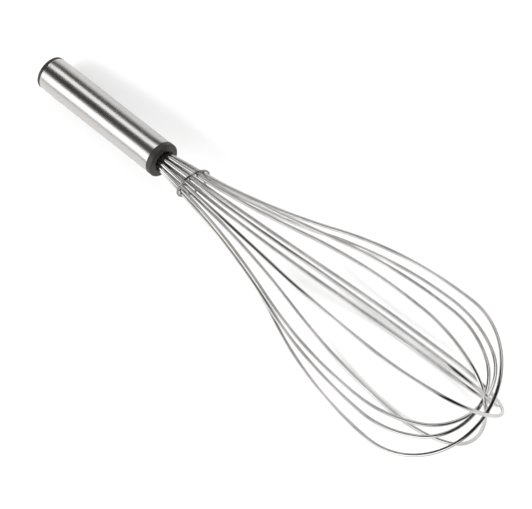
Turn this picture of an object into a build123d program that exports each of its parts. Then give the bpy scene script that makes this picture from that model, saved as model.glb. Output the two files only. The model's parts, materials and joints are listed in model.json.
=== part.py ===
"""Balloon whisk: a steel tube handle with two plastic plugs, six bent wire loops and a binding ring.

Millimetres.  The whisk lies on a table, which is the XY plane, with its handle towards -X.  Every
piece is drawn in the whisk's own frame, whose Z runs along the handle from the rear of the tube
towards the tip of the balloon, and that frame is laid down on the table before anything is made.
"""

from build123d import *
import os
from collections import namedtuple
from math import atan, cos, degrees, pi, radians, sin, sqrt, tan

os.makedirs("parts", exist_ok=True)

# Handle tube
handle_diameter = 21.0
tube_wall = 0.8
tube_length = 93.0
tube_lip_round = 0.6

# Both plugs
push_fit = 0.05  # gap all round between a plug and the bore of the tube

# End cap
cap_rim = 2.0  # length that shows behind the tube
cap_edge_round = 0.8
cap_spigot_length = 10.0
cap_wall = 1.8

# Front plug
collar_length = 3.8
collar_step = 0.2  # how far the collar stands out past the tube
collar_front_round = 1.2
collar_rear_round = 0.15
plug_spigot_length = 12.0
recess_depth = 0.7
recess_margin = 0.6  # flat ring left round the wires in the recess
recess_edge_round = 0.4

# Resin behind the front plug, which locks the wire tails
resin_depth = 9.0
tail_in_resin = 7.0

# Wires
wire_diameter = 2.2
wire_fit = 0.05  # gap all round a wire in its hole
hole_web = 0.3  # plastic left between neighbouring holes
exit_bend = 12.0  # radius of the bend where a wire leaves its hole
exit_flare = 7.5  # degrees between a leg and the handle's axis before the ring

# Balloon
balloon_half_width = 47.0
balloon_reach = 257.2  # from the front plug's face to the tip of the longest loop
nest_gap = 0.4  # clear gap between two loops that cross one nesting step apart
bundle_length = 25.5  # from the front plug's face to where the straight legs start to part

# Binding ring
ring_station = 24.2  # from the front plug's face
ring_wire = 1.3
ring_tilt = 15.0
ring_turn = 21.0  # degrees round the handle to the side the ring leans towards
ring_fit = 0.1

# Hand-bent loops, in the order of their holes.  turn is how many degrees a loop swings round from
# its pair of holes.  sway and lean are how far its tip is pushed off the handle's axis, across the
# loop and out of its plane, as shares of the balloon's half width.  nest counts the steps that the
# tip sits inside the longest loop's.  stretch is the length of the rounded end as a share of the
# loop's own half width.
Loop = namedtuple("Loop", "turn narrower nest sway lean stretch")
loops = [
    Loop(turn=-8.4, narrower=2, nest=0, sway=0.024, lean=-0.03, stretch=1.22),
    Loop(turn=20, narrower=9.2, nest=6, sway=-0.127, lean=0.294, stretch=1.43),
    Loop(turn=-0.7, narrower=10, nest=4.45, sway=0.097, lean=0.115, stretch=1.33),
    Loop(turn=-19.3, narrower=0.7, nest=1, sway=0.083, lean=-0.066, stretch=1),
    Loop(turn=-2.9, narrower=5.1, nest=2.8, sway=0.31, lean=0.117, stretch=1.33),
    Loop(turn=5.6, narrower=4.7, nest=2.8, sway=0.096, lean=0.163, stretch=1.14),
]
first_hole = -67.0  # degrees round the handle
resting_loops = (4, 5)  # the two neighbours whose first legs touch the table

# How finely the lying position is found
steps_per_edge = 60
settling_rounds = 12

# Worked out from the sizes above
handle_radius = handle_diameter / 2
bore_radius = handle_radius - tube_wall
spigot_radius = bore_radius - push_fit
face_station = tube_length + collar_length
exit_station = face_station - recess_depth
plug_rear_station = tube_length - plug_spigot_length
tail_station = plug_rear_station - tail_in_resin
leg_count = 2 * len(loops)
leg_spacing = 360 / leg_count
hole_radius = wire_diameter / 2 + wire_fit
hole_circle_radius = (2 * hole_radius + hole_web) / (2 * sin(radians(leg_spacing / 2)))
recess_radius = hole_circle_radius + wire_diameter / 2 + recess_margin
flare = radians(exit_flare)
bend_end_station = exit_station + exit_bend * sin(flare)
bend_end_radius = hole_circle_radius + exit_bend * (1 - cos(flare))


def bundle_radius(station):
    """Radius of the circle of wire centres at a station on the straight part of the legs."""
    return bend_end_radius + (station - bend_end_station) * tan(flare)


def tip_angle(share):
    """Degrees to turn a loop about the plug's face to push its tip this far off the axis."""
    return degrees(atan(share * balloon_half_width / balloon_reach))


def add_smooth_pair(start, leaving, end, arriving):
    """Add two arcs that meet smoothly, from start along leaving to end along arriving."""
    span = end - start
    progress = span.dot(leaving + arriving)
    bend = 2 - 2 * leaving.dot(arriving)
    reach = span.dot(span) / (progress + sqrt(progress**2 + bend * span.dot(span)))
    first_corner = start + leaving * reach
    second_corner = end - arriving * reach
    meeting = (first_corner + second_corner) * 0.5
    TangentArc(start, meeting, tangent=leaving)
    TangentArc(meeting, end, tangent=(second_corner - first_corner).normalized())


def add_leg(whisk, number, side):
    """Add one leg of a loop to the open line, from its tail in the handle to the loop's tip."""
    loop = loops[number]
    hole = first_hole + number * leg_spacing
    half_width = balloon_half_width - loop.narrower
    reach = balloon_reach - loop.nest * (wire_diameter + nest_gap)
    holes = Plane(whisk.location * Rotation(0, 0, hole))
    outward = holes.x_dir * side
    flared = outward * sin(flare) + whisk.z_dir * cos(flare)
    balloon = Plane(
        whisk.location
        * Pos(0, 0, face_station)
        * Rotation(0, 0, hole + loop.turn)
        * Rotation(-tip_angle(loop.lean), tip_angle(loop.sway), 0)
    )
    free_station = face_station + bundle_length

    tail = holes.from_local_coords((side * hole_circle_radius, 0, tail_station))
    leaves_hole = holes.from_local_coords((side * hole_circle_radius, 0, exit_station))
    bend_end = holes.from_local_coords((side * bend_end_radius, 0, bend_end_station))
    free = holes.from_local_coords((side * bundle_radius(free_station), 0, free_station))
    widest = balloon.from_local_coords((side * half_width, 0, reach - loop.stretch * half_width))
    tip = balloon.from_local_coords((0, 0, reach))

    Line(tail, leaves_hole)
    TangentArc(leaves_hole, bend_end, tangent=whisk.z_dir)
    Line(bend_end, free)
    add_smooth_pair(free, flared, widest, balloon.z_dir)
    add_smooth_pair(widest, balloon.z_dir, tip, balloon.x_dir * -side)


def lie_down():
    """The whisk's frame as it lies on the table, on two neighbouring legs and its heel."""
    legs = []
    for number in resting_loops:
        with BuildLine() as leg:
            add_leg(Plane.XY, number, 1)
        steps = range(steps_per_edge + 1)
        legs.append([edge @ (step / steps_per_edge) for edge in leg.edges() for step in steps])
    bottom = first_hole + (sum(resting_loops) / 2) * leg_spacing
    down = Vector(cos(radians(bottom)), sin(radians(bottom)), 0)
    for _ in range(settling_rounds):
        feet = []
        for points in legs:
            feet.append(max(points, key=lambda point: point.dot(down)) + down * (wire_diameter / 2))
        sideways = Vector(down.X, down.Y, 0).normalized()
        heel = sideways * (handle_radius - cap_edge_round) + down * cap_edge_round
        heel -= Vector(0, 0, cap_rim - cap_edge_round)
        normal = (feet[1] - feet[0]).cross(heel - feet[0]).normalized()
        down = normal if normal.dot(down) > 0 else normal * -1

    up = down * -1
    ahead = (Vector(0, 0, 1) - up * up.Z).normalized()
    left = up.cross(ahead)
    x_dir = Vector(ahead.X, left.X, up.X)
    z_dir = Vector(ahead.Z, left.Z, up.Z)
    return Plane(origin=(0, 0, heel.dot(down)), x_dir=x_dir, z_dir=z_dir)


def centre_on_origin(whisk):
    """The same frame, slid along the table until the middle of the whisk's box is at the origin."""
    with BuildLine() as outline:
        for number in range(len(loops)):
            add_leg(whisk, number, 1)
            add_leg(whisk, number, -1)
    wires = outline.line.bounding_box()
    rear = Plane(whisk.location * Pos(0, 0, cap_edge_round - cap_rim))
    heel_ring = Edge.make_circle(handle_radius - cap_edge_round, plane=rear).bounding_box()
    front_x = wires.max.X + wire_diameter / 2
    rear_x = heel_ring.min.X - cap_edge_round
    middle = Vector((front_x + rear_x) / 2, (wires.max.Y + wires.min.Y) / 2, 0)
    return Plane(origin=whisk.origin - middle, x_dir=whisk.x_dir, z_dir=whisk.z_dir)


whisk = centre_on_origin(lie_down())
along_handle = Axis(whisk.origin, whisk.z_dir)

with BuildPart() as handle_tube:
    with BuildSketch(whisk):
        Circle(handle_radius)
        Circle(bore_radius, mode=Mode.SUBTRACT)
    extrude(amount=tube_length)
    outer_lips = handle_tube.edges().filter_by(GeomType.CIRCLE).group_by(SortBy.RADIUS)[-1]
    fillet(outer_lips, tube_lip_round)
handle_tube.part.label = "handle_tube"
export_step(handle_tube.part, "parts/handle_tube.step")

with BuildPart() as end_cap:
    with BuildSketch(whisk.offset(-cap_rim)):
        Circle(handle_radius)
    extrude(amount=cap_rim)
    rear_face = end_cap.faces().filter_by(GeomType.PLANE).sort_by(along_handle)[0]
    fillet(rear_face.edges(), cap_edge_round)
    with BuildSketch(whisk):
        Circle(spigot_radius)
    extrude(amount=cap_spigot_length)
    with BuildSketch(whisk.offset(cap_spigot_length)):
        Circle(spigot_radius - cap_wall)
    extrude(amount=-cap_spigot_length, mode=Mode.SUBTRACT)
end_cap.part.label = "end_cap"
export_step(end_cap.part, "parts/end_cap.step")

with BuildPart() as front_plug:
    with BuildSketch(whisk.offset(tube_length)):
        Circle(handle_radius + collar_step)
    extrude(amount=collar_length)
    collar_rims = front_plug.edges().filter_by(GeomType.CIRCLE)
    fillet(collar_rims.sort_by(along_handle)[-1], collar_front_round)
    collar_rims = front_plug.edges().filter_by(GeomType.CIRCLE)
    fillet(collar_rims.sort_by(along_handle)[0], collar_rear_round)
    with BuildSketch(whisk.offset(tube_length)):
        Circle(spigot_radius)
    extrude(amount=-plug_spigot_length)
    with BuildSketch(whisk.offset(face_station)):
        Circle(recess_radius)
    extrude(amount=-recess_depth, mode=Mode.SUBTRACT)
    recess_edge = front_plug.edges().filter_by(GeomType.CIRCLE).sort_by(along_handle)[-2:]
    fillet(recess_edge.sort_by(SortBy.RADIUS)[0], recess_edge_round)
    with BuildSketch(whisk.offset(exit_station)):
        with PolarLocations(hole_circle_radius, leg_count, start_angle=first_hole):
            Circle(hole_radius)
    extrude(amount=plug_rear_station - exit_station, mode=Mode.SUBTRACT)
front_plug.part.label = "front_plug"
export_step(front_plug.part, "parts/front_plug.step")

with BuildPart() as resin_seal:
    with BuildSketch(whisk.offset(plug_rear_station)):
        Circle(spigot_radius)
    extrude(amount=-resin_depth)
    with BuildSketch(whisk.offset(plug_rear_station)):
        with PolarLocations(hole_circle_radius, leg_count, start_angle=first_hole):
            Circle(hole_radius)
    extrude(amount=-tail_in_resin, mode=Mode.SUBTRACT)
resin_seal.part.label = "resin_seal"
export_step(resin_seal.part, "parts/resin_seal.step")

for number in range(len(loops)):
    with BuildPart() as wire_loop:
        with BuildLine() as route:
            add_leg(whisk, number, 1)
            add_leg(whisk, number, -1)
        path = route.wire()
        with BuildSketch(Plane(origin=path @ 0, z_dir=path % 0)):
            Circle(wire_diameter / 2)
        sweep(path=path)
    wire_loop.part.label = f"wire_loop_{number + 1}"
    export_step(wire_loop.part, f"parts/wire_loop_{number + 1}.step")
    section = pi * (wire_diameter / 2) ** 2
    share = wire_loop.part.volume / (section * path.length)
    print(f"wire_loop_{number + 1}: {path.length:.1f} mm of wire, volume {share:.4f} of its section")

# The ring lies aslant on a cone of legs, so it is centred between its far side and its near side.
tilt = radians(ring_tilt)
bundle_at_ring = bundle_radius(face_station + ring_station) / cos(tilt)
far_side = bundle_at_ring / (1 - tan(tilt) * tan(flare))
near_side = bundle_at_ring / (1 + tan(tilt) * tan(flare))
ring_hold = (wire_diameter / 2 + ring_fit + ring_wire / 2) / cos(tilt + flare)
ring_radius = (far_side + near_side) / 2 + ring_hold
ring_plane = Plane(
    whisk.location
    * Pos(0, 0, face_station + ring_station)
    * Rotation(0, 0, ring_turn)
    * Rotation(0, ring_tilt, 0)
    * Pos((near_side - far_side) / 2, 0, 0)
)
with BuildPart() as binding_ring:
    with BuildSketch(Plane(ring_plane.origin, x_dir=ring_plane.x_dir, z_dir=ring_plane.y_dir)):
        with Locations((ring_radius, 0)):
            Circle(ring_wire / 2)
    revolve(axis=Axis(ring_plane.origin, ring_plane.z_dir))
binding_ring.part.label = "binding_ring"
export_step(binding_ring.part, "parts/binding_ring.step")
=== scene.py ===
import json
from math import acos, atan, ceil, cos, pi, radians, sin, sqrt, tan

import bmesh
import bpy
from mathutils import Matrix, Vector


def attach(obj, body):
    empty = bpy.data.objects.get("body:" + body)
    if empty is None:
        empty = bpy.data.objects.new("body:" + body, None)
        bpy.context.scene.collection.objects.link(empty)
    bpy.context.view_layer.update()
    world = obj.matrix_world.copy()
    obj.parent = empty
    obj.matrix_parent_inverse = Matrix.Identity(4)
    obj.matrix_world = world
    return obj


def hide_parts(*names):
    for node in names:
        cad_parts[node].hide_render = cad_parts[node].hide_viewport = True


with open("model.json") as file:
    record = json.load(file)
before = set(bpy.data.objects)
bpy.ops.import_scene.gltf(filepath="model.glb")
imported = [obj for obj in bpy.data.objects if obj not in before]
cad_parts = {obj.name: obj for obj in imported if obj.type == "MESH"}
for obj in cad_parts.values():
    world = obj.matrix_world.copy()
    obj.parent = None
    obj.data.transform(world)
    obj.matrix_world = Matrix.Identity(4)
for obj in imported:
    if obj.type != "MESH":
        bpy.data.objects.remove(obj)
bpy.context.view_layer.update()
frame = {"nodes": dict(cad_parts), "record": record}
print("frame loaded:", len(frame["nodes"]), "parts")

mm = 0.001
creaseAngle = radians(28)  # edges sharper than this are shaded as edges

# sizes below are in millimetres and angles in degrees, unless a note says otherwise;
# stations are measured along the handle from the rear of its tube towards the balloon
whisk = {
    "capRim": 2.0,  # from the heel's face to the rear of the tube
    "roll": 85.7266,  # degrees round the handle from its first direction to the table
}

mounts = {mount["name"]: mount for mount in frame["record"]["mounts"]}
alongHandle = -Vector(mounts["grip"]["axis"]).normalized()
rearOfTube = Vector(mounts["heel"]["pos_m"]) + alongHandle * whisk["capRim"] * mm
towardTable = Vector((0, 0, -1))
towardTable = (towardTable - alongHandle * towardTable.dot(alongHandle)).normalized()
firstWay = Matrix.Rotation(-radians(whisk["roll"]), 3, alongHandle) @ towardTable
secondWay = alongHandle.cross(firstWay)
whiskPlace = Matrix((firstWay, secondWay, alongHandle)).transposed().to_4x4()
whiskPlace.translation = rearOfTube


class Signal:
    # a shader socket that can be used in sums
    def __init__(self, paint, socket):
        self.paint = paint
        self.socket = socket

    def combine(self, operation, first, second):
        return self.paint.add("ShaderNodeMath", {"operation": operation}, {0: first, 1: second})

    def __add__(self, other):
        return self.combine("ADD", self, other)

    def __sub__(self, other):
        return self.combine("SUBTRACT", self, other)

    def __rsub__(self, other):
        return self.combine("SUBTRACT", other, self)

    def __mul__(self, other):
        return self.combine("MULTIPLY", self, other)

    __radd__ = __add__
    __rmul__ = __mul__


class Paint:
    # the nodes of one material, or of the world
    def __init__(self, owner):
        owner.use_nodes = True
        self.owner = owner
        self.tree = owner.node_tree

    def add(self, kind, settings, values, output=0):
        node = self.tree.nodes.new(kind)
        for key, value in settings.items():
            setattr(node, key, value)
        for key, value in values.items():
            self.feed(node.inputs[key], value)
        return Signal(self, node.outputs[output])

    def feed(self, socket, value):
        if isinstance(value, Signal):
            self.tree.links.new(value.socket, socket)
        else:
            socket.default_value = value

    def finish(self, values):
        # sets the shader of a material and hands the material back
        shader = self.tree.nodes["Principled BSDF"]
        for key, value in values.items():
            self.feed(shader.inputs[key], value)
        return self.owner

    def mix(self, factor, first, second):
        return self.add("ShaderNodeMix", {"data_type": "RGBA"}, {0: factor, 6: first, 7: second}, 2)

    def noise(self, where, scale, detail=2, roughness=0.5):
        values = {"Vector": where, "Scale": scale, "Detail": detail, "Roughness": roughness}
        return self.add("ShaderNodeTexNoise", {}, values)

    def whiskPoint(self):
        # the shaded point as seen from the whisk: third number along the handle
        place = self.add("ShaderNodeTexCoord", {}, {}, "Object")
        values = {"Vector": place, "Location": whiskPlace.translation, "Rotation": whiskPlace.to_euler()}
        return self.add("ShaderNodeMapping", {"vector_type": "TEXTURE"}, values)

    def stretch(self, where, scale):
        return self.add("ShaderNodeVectorMath", {"operation": "MULTIPLY"}, {0: where, 1: scale})

    def bump(self, height, strength, depth):
        values = {"Height": height, "Strength": strength, "Distance": depth}
        return self.add("ShaderNodeBump", {}, values)


def newPaint(name):
    return Paint(bpy.data.materials.new(name))


def swing(middle, swings):
    # a value that swings about its middle with noises, which each average a half
    total = middle - sum(swings.values()) / 2
    for noise, width in swings.items():
        total = noise * width + total
    return total


satinSteel = {
    "dark": (0.4, 0.388, 0.378, 1),
    "light": (0.5, 0.487, 0.476, 1),
    "roughness": 0.27,
    "roughGrain": 0.12,  # how far the grain swings the roughness
    "roughSmudge": 0.06,
    "grain": 2600,  # streaks a metre, round the tube
    "broader": 9,  # how much wider the broad streaks are
    "broadShare": 0.4,
    "grainLength": 0.02,
    "grainDepth": 0.00005,
    "grainStrength": 0.35,
    "smudge": 60,
}


def makeSatinSteel():
    paint = newPaint("satinSteel")
    place = paint.whiskPoint()
    streaks = paint.stretch(place, (1, 1, satinSteel["grainLength"]))
    fine = paint.noise(streaks, satinSteel["grain"], detail=3)
    broad = paint.noise(streaks, satinSteel["grain"] / satinSteel["broader"])
    smudge = paint.noise(place, satinSteel["smudge"], detail=3)
    grain = fine * (1 - satinSteel["broadShare"]) + broad * satinSteel["broadShare"]
    swings = {grain: satinSteel["roughGrain"], smudge: satinSteel["roughSmudge"]}
    return paint.finish({
        "Base Color": paint.mix(grain, satinSteel["dark"], satinSteel["light"]),
        "Roughness": swing(satinSteel["roughness"], swings),
        "Metallic": 1.0,
        "Normal": paint.bump(grain, satinSteel["grainStrength"], satinSteel["grainDepth"]),
    })


wireSteel = {
    "dark": (0.29, 0.286, 0.281, 1),
    "light": (0.68, 0.67, 0.66, 1),
    "roughness": 0.13,
    "roughSwing": 0.1,
    "paintedReflections": (1.5, 28),  # painted reflections: changes of tone round the wire, and a metre along it
    # how strongly the painted reflections swing the wire's tone
    "paintedReflectionTone": 1.9,
    "marks": (9, 25),  # drawing marks round the wire, and a metre along it
    "markTone": 0.7,
    "markDepth": 0.0000015,
    "markStrength": 0.3,
}

# the binding ring's steel is a darker copy of the wire steel: painted shade, so that the ring reads dark
# where it crosses the legs
ringSteelPaintedShade = {
    "dark": (0.15, 0.148, 0.145, 1),
    "light": (0.3, 0.296, 0.29, 1),
    "roughness": 0.16,
    "roughSwing": 0.1,
    # painted reflections along the ring, changing faster than on the legs
    "paintedReflections": (1.5, 90),
    "paintedReflectionTone": 1.9,
    "marks": (6, 25),
    "markTone": 0.7,
    "markDepth": 0.0000015,
    "markStrength": 0.3,
}


def makeDrawnSteel(name, steel):
    paint = newPaint(name)
    place = paint.add("ShaderNodeUVMap", {"uv_map": "UVMap"}, {})
    marks = paint.noise(paint.stretch(place, (*steel["marks"], 1)), 1, detail=3, roughness=0.6)
    # painted reflections: slow light and dark stretches along the wire stand in for the studio that the
    # steel mirrors; they are mixed with the real drawing marks
    paintedReflections = paint.noise(paint.stretch(place, (*steel["paintedReflections"], 1)), 1)
    markAndReflectionTone = swing(0.5, {marks: steel["markTone"], paintedReflections: steel["paintedReflectionTone"]})
    swings = {marks: steel["roughSwing"], paintedReflections: steel["roughSwing"]}
    return paint.finish({
        "Base Color": paint.mix(markAndReflectionTone, steel["dark"], steel["light"]),
        "Roughness": swing(steel["roughness"], swings),
        "Metallic": 1.0,
        "Normal": paint.bump(marks, steel["markStrength"], steel["markDepth"]),
    })


blackPlastic = {
    "dark": (0.0105, 0.009, 0.0083, 1),
    "light": (0.0195, 0.0165, 0.015, 1),
    "roughness": 0.49,
    "roughTexture": 0.14,
    "roughCloud": 0.16,
    "cloud": 220,
    "texture": 5200,  # moulded grains a metre
    "textureDepth": 0.00003,
    "textureStrength": 0.5,
}


def makeBlackPlastic():
    paint = newPaint("blackPlastic")
    place = paint.add("ShaderNodeTexCoord", {}, {}, "Object")
    texture = paint.noise(place, blackPlastic["texture"], roughness=0.6)
    cloud = paint.noise(place, blackPlastic["cloud"], detail=3)
    swings = {texture: blackPlastic["roughTexture"], cloud: blackPlastic["roughCloud"]}
    relief = paint.bump(texture, blackPlastic["textureStrength"], blackPlastic["textureDepth"])
    return paint.finish({
        "Base Color": paint.mix(cloud, blackPlastic["dark"], blackPlastic["light"]),
        "Roughness": swing(blackPlastic["roughness"], swings),
        "Normal": relief,
    })


resin = {
    "dark": (0.33, 0.25, 0.12, 1),
    "light": (0.5, 0.4, 0.22, 1),
    "roughness": 0.18,
    "roughCloud": 0.2,
    "cloud": 350,
    "bubbles": 2400,  # a metre
    "bubbleDepth": 0.00005,
    "bubbleStrength": 0.4,
}


def makeResin():
    paint = newPaint("pottingResin")
    place = paint.add("ShaderNodeTexCoord", {}, {}, "Object")
    cloud = paint.noise(place, resin["cloud"], detail=4)
    bubbles = paint.noise(place, resin["bubbles"])
    return paint.finish({
        "Base Color": paint.mix(cloud, resin["dark"], resin["light"]),
        "Roughness": swing(resin["roughness"], {cloud: resin["roughCloud"]}),
        "Normal": paint.bump(bubbles, resin["bubbleStrength"], resin["bubbleDepth"]),
    })


finishes = {
    # finish: its material and the part's slot for it
    "satinSteel": (makeSatinSteel(), "satin_steel"),
    "wireSteel": (makeDrawnSteel("wireSteel", wireSteel), "wire_steel"),
    # the ring's darker copy of the wire steel is painted shade
    "ringSteelPaintedShade": (makeDrawnSteel("ringSteelPaintedShade", ringSteelPaintedShade), "wire_steel"),
    "blackPlastic": (makeBlackPlastic(), "black_plastic"),
    "resin": (makeResin(), "resin"),
}
print("finishes made:", ", ".join(finishes))


def addPiece(name, mesh, finish, node):
    # a finished mesh, drawn in the whisk's own frame, takes the place of one part
    mesh.transform(whiskPlace)
    piece = bpy.data.objects.new(name, mesh)
    bpy.context.scene.collection.objects.link(piece)
    material, slot = finishes[finish]
    piece.data.materials.append(material)
    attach(piece, "root")
    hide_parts(node)
    return piece


def skin(name, rings, closedAlong, ends=True):
    # quads between rings of points; each ring is closed, and the row of rings may be too
    mesh = bmesh.new()
    uvLayer = mesh.loops.layers.uv.new("UVMap")
    rows = [[mesh.verts.new(point) for point in ring["points"]] for ring in rings]
    count = len(rows[0])
    last = len(rows) if closedAlong else len(rows) - 1
    for row in range(last):
        nextRow = (row + 1) % len(rows)
        for column in range(count):
            nextColumn = (column + 1) % count
            corners = (
                rows[row][column], rows[row][nextColumn],
                rows[nextRow][nextColumn], rows[nextRow][column],
            )
            face = mesh.faces.new(corners)
            face.smooth = True
            rowAlong = rings[row]["along"]
            nextAlong = rings[nextRow]["along"] if nextRow else rings[-1]["along"] + mm
            places = (
                (column / count, rowAlong), ((column + 1) / count, rowAlong),
                ((column + 1) / count, nextAlong), (column / count, nextAlong),
            )
            for loop, place in zip(face.loops, places):
                loop[uvLayer].uv = place
    if ends and not closedAlong:
        mesh.faces.new(reversed(rows[0]))
        mesh.faces.new(rows[-1])
    bmesh.ops.recalc_face_normals(mesh, faces=mesh.faces)
    result = bpy.data.meshes.new(name)
    mesh.to_mesh(result)
    mesh.free()
    result.set_sharp_from_angle(angle=creaseAngle)
    return result


def roundCorner(centre, radius, fromAngle, toAngle, steps=6):
    # points of a round corner in a profile, as (radius, station)
    turns = [fromAngle + (toAngle - fromAngle) * step / steps for step in range(steps + 1)]
    return [(centre[0] + radius * cos(turn), centre[1] + radius * sin(turn)) for turn in turns]


def lathe(profile, segments=192):
    # a closed profile of (radius, station) in millimetres, turned round the handle's axis
    rings = []
    along = 0.0
    previous = profile[0]
    for radius, station in profile:
        along += sqrt((radius - previous[0]) ** 2 + (station - previous[1]) ** 2)
        previous = (radius, station)
        points = []
        for segment in range(segments):
            turn = 2 * pi * segment / segments
            points.append((radius * cos(turn) * mm, radius * sin(turn) * mm, station * mm))
        rings.append({"points": points, "along": along * mm})
    return rings


pinhole = 0.01  # where a profile meets the axis, so that no face shrinks to a line

handle = {
    "radius": 10.5,
    "wall": 0.8,
    "length": 93.0,
    "lipRound": 0.6,
    "bands": 12,  # rows of faces along the tube
}


def makeHandleTube():
    outer = handle["radius"]
    inner = outer - handle["wall"]
    end = handle["length"]
    lip = handle["lipRound"]
    profile = [(inner, 0)]
    profile += roundCorner((outer - lip, lip), lip, -pi / 2, 0)
    bands = handle["bands"]
    profile += [(outer, end * band / bands) for band in range(1, bands)]
    profile += roundCorner((outer - lip, end - lip), lip, 0, pi / 2)
    profile += [(inner, end)]
    addPiece("handleTube", skin("handleTube", lathe(profile), True),
             "satinSteel", "handle_tube")


makeHandleTube()
print("handle tube turned")

plugs = {
    "pushFit": 0.05,  # gap all round in the tube
    "capRings": 4,  # rings of faces on the heel
    "capEdgeRound": 0.8,
    "capSpigot": 10.0,
    "capWall": 1.8,
    "collarLength": 3.8,
    "collarStep": 0.2,  # how far the collar stands out past the tube
    "frontRound": 1.2,
    "rearRound": 0.15,
    "spigotLength": 12.0,
    "recessDepth": 0.7,
    "recessMargin": 0.6,
    "recessRound": 0.4,
}

wires = {
    "diameter": 2.2,
    "fit": 0.05,  # gap all round a wire in its hole
    "web": 0.3,  # plastic between neighbouring holes
    "exitBend": 12.0,
    "exitFlare": 7.5,  # between a leg and the handle before the ring
    "tailInResin": 7.0,
    "resinDepth": 9.0,
    "resinSides": 96,
    "sides": 24,
    "holeSides": 32,
    "holeCut": 1.0,  # how far a drill runs past the face that it leaves
    "step": 1.6,  # longest stretch between two rings of points
    "fewestSteps": 4,
}

balloon = {
    "halfWidth": 47.0,
    "reach": 257.2,
    "nestGap": 0.4,
    "bundleLength": 25.5,  # straight part of the legs in front of the plug
    "firstHole": -67.0,
    # one loop a line, in the order of their holes: turn from its pair of holes, how much
    # narrower it is, steps that its tip sits inside the longest loop's, push of its tip
    # sideways and out of its plane as shares of the half width, and length of its rounded
    # end as a share of its own half width
    "loops": [
        (-8.4, 2, 0, 0.024, -0.03, 1.22),
        (20, 9.2, 6, -0.127, 0.294, 1.43),
        (-0.7, 10, 4.45, 0.097, 0.115, 1.33),
        (-19.3, 0.7, 1, 0.083, -0.066, 1),
        (-2.9, 5.1, 2.8, 0.31, 0.117, 1.33),
        (5.6, 4.7, 2.8, 0.096, 0.163, 1.14),
    ],
}

spigotRadius = handle["radius"] - handle["wall"] - plugs["pushFit"]
faceStation = handle["length"] + plugs["collarLength"]
exitStation = faceStation - plugs["recessDepth"]
plugRear = handle["length"] - plugs["spigotLength"]
legCount = 2 * len(balloon["loops"])
legSpacing = 360 / legCount
wireRadius = wires["diameter"] / 2
holeRadius = wireRadius + wires["fit"]
holeCircle = (2 * holeRadius + wires["web"]) / (2 * sin(radians(legSpacing / 2)))
recessRadius = holeCircle + wireRadius + plugs["recessMargin"]


def makeEndCap():
    outer = handle["radius"]
    edge = plugs["capEdgeRound"]
    rim = whisk["capRim"]
    hollow = spigotRadius - plugs["capWall"]
    rings = plugs["capRings"]
    profile = [(pinhole, -rim)]
    profile += [((outer - edge) * ring / rings, -rim) for ring in range(1, rings)]
    profile += roundCorner((outer - edge, edge - rim), edge, -pi / 2, 0)
    profile += [(outer, 0), (spigotRadius, 0), (spigotRadius, plugs["capSpigot"])]
    profile += [(hollow, plugs["capSpigot"]), (hollow, 0), (pinhole, 0)]
    addPiece("endCap", skin("endCap", lathe(profile), True), "blackPlastic", "end_cap")


def cutHoles(piece, start, end):
    # drills a hole for each leg between two stations
    mesh = bmesh.new()
    for number in range(legCount):
        turn = radians(balloon["firstHole"] + number * legSpacing)
        centre = Vector((holeCircle * cos(turn), holeCircle * sin(turn), (start + end) / 2))
        bmesh.ops.create_cone(
            mesh, cap_ends=True, segments=wires["holeSides"], radius1=holeRadius * mm,
            radius2=holeRadius * mm, depth=(end - start) * mm, matrix=Matrix.Translation(centre * mm),
        )
    cutterMesh = bpy.data.meshes.new("holeCutter")
    mesh.to_mesh(cutterMesh)
    mesh.free()
    cutter = bpy.data.objects.new("holeCutter", cutterMesh)
    bpy.context.scene.collection.objects.link(cutter)
    cutter.matrix_world = whiskPlace
    bore = piece.modifiers.new("holes", "BOOLEAN")
    bore.operation = "DIFFERENCE"
    bore.solver = "EXACT"
    bore.object = cutter
    bpy.context.view_layer.update()
    graph = bpy.context.evaluated_depsgraph_get()
    bored = bpy.data.meshes.new_from_object(piece.evaluated_get(graph))
    piece.modifiers.clear()
    piece.data = bored
    piece.data.set_sharp_from_angle(angle=creaseAngle)
    bpy.data.objects.remove(cutter)


def makeFrontPlug():
    outer = handle["radius"] + plugs["collarStep"]
    front = plugs["frontRound"]
    rear = plugs["rearRound"]
    start = handle["length"]
    lip = plugs["recessRound"]
    profile = [(pinhole, plugRear), (spigotRadius, plugRear), (spigotRadius, start)]
    profile += roundCorner((outer - rear, start + rear), rear, -pi / 2, 0, steps=4)
    profile += roundCorner((outer - front, faceStation - front), front, 0, pi / 2, steps=10)
    profile += roundCorner((recessRadius + lip, faceStation - lip), lip, pi / 2, pi, steps=5)
    profile += [(recessRadius, exitStation), (pinhole, exitStation)]
    piece = addPiece("frontPlug", skin("frontPlug", lathe(profile), True),
                     "blackPlastic", "front_plug")
    cutHoles(piece, plugRear - wires["holeCut"], exitStation + wires["holeCut"])


def makeResinSeal():
    bottom = plugRear - wires["resinDepth"]
    profile = [(pinhole, bottom), (spigotRadius, bottom)]
    profile += [(spigotRadius, plugRear), (pinhole, plugRear)]
    mesh = skin("resinSeal", lathe(profile, wires["resinSides"]), True)
    piece = addPiece("resinSeal", mesh, "resin", "resin_seal")
    cutHoles(piece, plugRear - wires["tailInResin"], plugRear + wires["holeCut"])


makeEndCap()
makeFrontPlug()
makeResinSeal()
print("plugs and resin made")

flare = radians(wires["exitFlare"])
bendEndStation = exitStation + wires["exitBend"] * sin(flare)
bendEndRadius = holeCircle + wires["exitBend"] * (1 - cos(flare))


def bundleRadius(station):
    return bendEndRadius + (station - bendEndStation) * tan(flare)


def tipAngle(share):
    return atan(share * balloon["halfWidth"] / balloon["reach"])


def straight(start, end):
    steps = max(1, ceil((end - start).length / wires["step"]))
    return [start.lerp(end, step / steps) for step in range(steps)]


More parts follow.
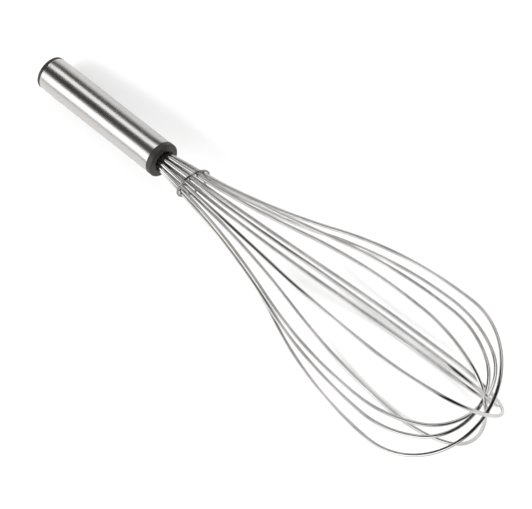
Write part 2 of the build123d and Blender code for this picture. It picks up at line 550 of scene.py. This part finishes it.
def arc(start, leaving, end):
    # points of the arc that leaves start along leaving and passes through end
    chord = end - start
    bend = acos(max(-1.0, min(1.0, chord.normalized().dot(leaving))))
    inward = (chord - leaving * chord.dot(leaving)).normalized()
    radius = chord.length / (2 * sin(bend))
    steps = max(wires["fewestSteps"], ceil(2 * bend * radius / wires["step"]))
    points = []
    for step in range(steps):
        turn = 2 * bend * step / steps
        points.append(start + leaving * (radius * sin(turn)) + inward * (radius * (1 - cos(turn))))
    return points


def smoothPair(start, leaving, end, arriving):
    # two arcs that meet smoothly, from start along leaving to end along arriving
    span = end - start
    progress = span.dot(leaving + arriving)
    bend = 2 - 2 * leaving.dot(arriving)
    reach = span.dot(span) / (progress + sqrt(progress**2 + bend * span.dot(span)))
    firstCorner = start + leaving * reach
    secondCorner = end - arriving * reach
    meeting = (firstCorner + secondCorner) / 2
    return arc(start, leaving, meeting) + arc(meeting, (secondCorner - firstCorner).normalized(), end)


def legRoute(number, side):
    # centre line of one leg, from its tail to the tip of its loop
    turn, narrower, nest, sway, lean, stretch = balloon["loops"][number]
    hole = balloon["firstHole"] + number * legSpacing
    halfWidth = balloon["halfWidth"] - narrower
    reach = balloon["reach"] - nest * (wires["diameter"] + balloon["nestGap"])
    up = Vector((0, 0, 1))
    outward = Vector((cos(radians(hole)), sin(radians(hole)), 0)) * side
    flared = outward * sin(flare) + up * cos(flare)
    tilted = Matrix.Rotation(radians(hole + turn), 3, "Z")
    tilted = tilted @ Matrix.Rotation(-tipAngle(lean), 3, "X")
    tilted = tilted @ Matrix.Rotation(tipAngle(sway), 3, "Y")
    across = tilted @ Vector((1, 0, 0))
    ahead = tilted @ up
    face = up * faceStation

    def onLeg(radius, station):
        return outward * radius + up * station

    freeStation = faceStation + balloon["bundleLength"]
    tail = onLeg(holeCircle, plugRear - wires["tailInResin"])
    leavesHole = onLeg(holeCircle, exitStation)
    bendEnd = onLeg(bendEndRadius, bendEndStation)
    free = onLeg(bundleRadius(freeStation), freeStation)
    widest = face + across * (side * halfWidth) + ahead * (reach - stretch * halfWidth)
    tip = face + ahead * reach
    route = straight(tail, leavesHole) + arc(leavesHole, up, bendEnd) + straight(bendEnd, free)
    route += smoothPair(free, flared, widest, ahead)
    route += smoothPair(widest, ahead, tip, across * -side)
    return route + [tip]


def tubeRings(route, radius, sides):
    # rings of points square to a route, carried along it without twisting
    rings = []
    along = 0.0
    ahead = (route[1] - route[0]).normalized()
    across = ahead.orthogonal().normalized()
    for index, point in enumerate(route):
        before = route[max(index - 1, 0)]
        after = route[min(index + 1, len(route) - 1)]
        turned = (after - before).normalized()
        across = (ahead.rotation_difference(turned) @ across).normalized()
        ahead = turned
        other = ahead.cross(across)
        along += (point - before).length
        points = []
        for side in range(sides):
            turn = 2 * pi * side / sides
            points.append((point + (across * cos(turn) + other * sin(turn)) * radius) * mm)
        rings.append({"points": points, "along": along * mm})
    return rings


def makeWireLoop(number):
    route = legRoute(number, 1)
    route += list(reversed(legRoute(number, -1)))[1:]
    name = f"wireLoop{number + 1}"
    mesh = skin(name, tubeRings(route, wireRadius, wires["sides"]), False)
    addPiece(name, mesh, "wireSteel", f"wire_loop_{number + 1}")


for number in range(len(balloon["loops"])):
    makeWireLoop(number)
print("wire loops bent")

ring = {
    "station": 24.2,  # from the front plug's face
    "wire": 1.3,
    "tilt": 15.0,
    "turn": 21.0,
    "fit": 0.1,
    "segments": 180,
    "sides": 24,
}


def makeBindingRing():
    # lies aslant on the cone of legs, centred between its far and its near side
    tilt = radians(ring["tilt"])
    station = faceStation + ring["station"]
    bundle = bundleRadius(station) / cos(tilt)
    farSide = bundle / (1 - tan(tilt) * tan(flare))
    nearSide = bundle / (1 + tan(tilt) * tan(flare))
    hold = (wireRadius + ring["fit"] + ring["wire"] / 2) / cos(tilt + flare)
    radius = (farSide + nearSide) / 2 + hold
    turnedBy = Matrix.Rotation(radians(ring["turn"]), 3, "Z") @ Matrix.Rotation(tilt, 3, "Y")
    centre = Vector((0, 0, station)) + turnedBy @ Vector(((nearSide - farSide) / 2, 0, 0))
    upward = turnedBy @ Vector((0, 0, 1))
    rings = []
    for step in range(ring["segments"]):
        turn = 2 * pi * step / ring["segments"]
        outward = turnedBy @ Vector((cos(turn), sin(turn), 0))
        points = []
        for side in range(ring["sides"]):
            about = 2 * pi * side / ring["sides"]
            offset = outward * cos(about) + upward * sin(about)
            points.append((centre + outward * radius + offset * ring["wire"] / 2) * mm)
        rings.append({"points": points, "along": radius * turn * mm})
    addPiece("bindingRing", skin("bindingRing", rings, True), "ringSteelPaintedShade", "binding_ring")


makeBindingRing()
print("binding ring made")

paper = {
    "radius": 2800.0,  # flat part of the floor
    "curl": 520.0,  # radius of its turned-up edge
    "rings": 4,
    "curlSteps": 16,
    "sides": 64,
    "dark": (0.925, 0.925, 0.925, 1),
    "light": (0.935, 0.935, 0.935, 1),
    "cloud": 3,
    "roughness": 0.9,
    "shine": 0.1,
}

# brightness, metres and watts in these two
studio = {
    "gloomColour": (1, 0.95, 0.93, 1),
    "gloom": 0.03,  # what the steel mirrors between the lights
    "paleColour": (1, 1, 1, 1),
    "ambience": 0.66,  # even light that reaches the floor and the plastic
    "lampX": -0.45,  # the softboxes hang over the handle
}

softboxes = {
    # name: degrees from straight up, towards -Y when positive; distance, width, length, watts
    "keyBox": {"lean": 53.0, "distance": 1.15, "width": 0.91, "length": 2.6, "power": 20},
    "fillBox": {"lean": -34.5, "distance": 1.25, "width": 0.58, "length": 2.6, "power": 10.5},
}


def makeFloor():
    # a flat round sweep of paper that curls up at its edge
    flat = paper["radius"]
    curl = paper["curl"]
    rings = paper["rings"]
    profile = [(pinhole, 0)] + [(flat * ring / rings, 0) for ring in range(1, rings)]
    profile += roundCorner((flat, curl), curl, -pi / 2, 0, paper["curlSteps"])
    mesh = skin("floor", lathe(profile, paper["sides"]), False, ends=False)
    floor = bpy.data.objects.new("floor", mesh)
    bpy.context.scene.collection.objects.link(floor)
    paint = newPaint("paleFloor")
    place = paint.add("ShaderNodeTexCoord", {}, {}, "Object")
    floor.data.materials.append(paint.finish({
        "Base Color": paint.mix(paint.noise(place, paper["cloud"]), paper["dark"], paper["light"]),
        "Roughness": paper["roughness"],
        "Specular IOR Level": paper["shine"],
    }))


def makeLights():
    for name, box in softboxes.items():
        light = bpy.data.lights.new(name, "AREA")
        light.shape = "RECTANGLE"
        light.size = box["length"]
        light.size_y = box["width"]
        light.energy = box["power"]
        lamp = bpy.data.objects.new(name, light)
        bpy.context.scene.collection.objects.link(lamp)
        lean = radians(box["lean"])
        lamp.location = (studio["lampX"], -box["distance"] * sin(lean), box["distance"] * cos(lean))
        lamp.rotation_euler = (lean, 0, 0)


def makeWorld():
    # mirrors see a dim room, and everything else is lit by a pale one
    world = bpy.data.worlds.new("studio")
    bpy.context.scene.world = world
    paint = Paint(world)
    paint.tree.nodes.remove(paint.tree.nodes["Background"])
    glossy = paint.add("ShaderNodeLightPath", {}, {}, "Is Glossy Ray")
    pale = {"Color": studio["paleColour"], "Strength": studio["ambience"]}
    gloom = {"Color": studio["gloomColour"], "Strength": studio["gloom"]}
    room = paint.add("ShaderNodeMixShader", {}, {
        0: glossy,
        1: paint.add("ShaderNodeBackground", {}, pale),
        2: paint.add("ShaderNodeBackground", {}, gloom),
    })
    paint.feed(paint.tree.nodes["World Output"].inputs["Surface"], room)


view = {
    "azimuth": 80.06,  # degrees from -Y towards +X
    "elevation": 67.83,
    "roll": -40.49,
    "distance": 1.6576,  # in metres, as the aim is
    "aim": (0.0110, -0.0025, 0.0354),
    "lens": 203.0,
    "sensor": 36.0,
}


def makeCamera():
    around = radians(view["azimuth"])
    height = radians(view["elevation"])
    away = Vector((cos(height) * sin(around), -cos(height) * cos(around), sin(height)))
    right = Vector((cos(around), sin(around), 0))
    up = away.cross(right)
    turned = Matrix((right, up, away)).transposed()
    turned = turned @ Matrix.Rotation(radians(view["roll"]), 3, "Z")
    camera = bpy.data.objects.new("camera", bpy.data.cameras.new("camera"))
    bpy.context.scene.collection.objects.link(camera)
    camera.data.lens = view["lens"]
    camera.data.sensor_width = view["sensor"]
    camera.matrix_world = turned.to_4x4()
    camera.location = Vector(view["aim"]) + away * view["distance"]
    bpy.context.scene.camera = camera


makeFloor()
makeLights()
makeWorld()
makeCamera()
bpy.context.scene.view_settings.view_transform = "Standard"
print("studio ready")
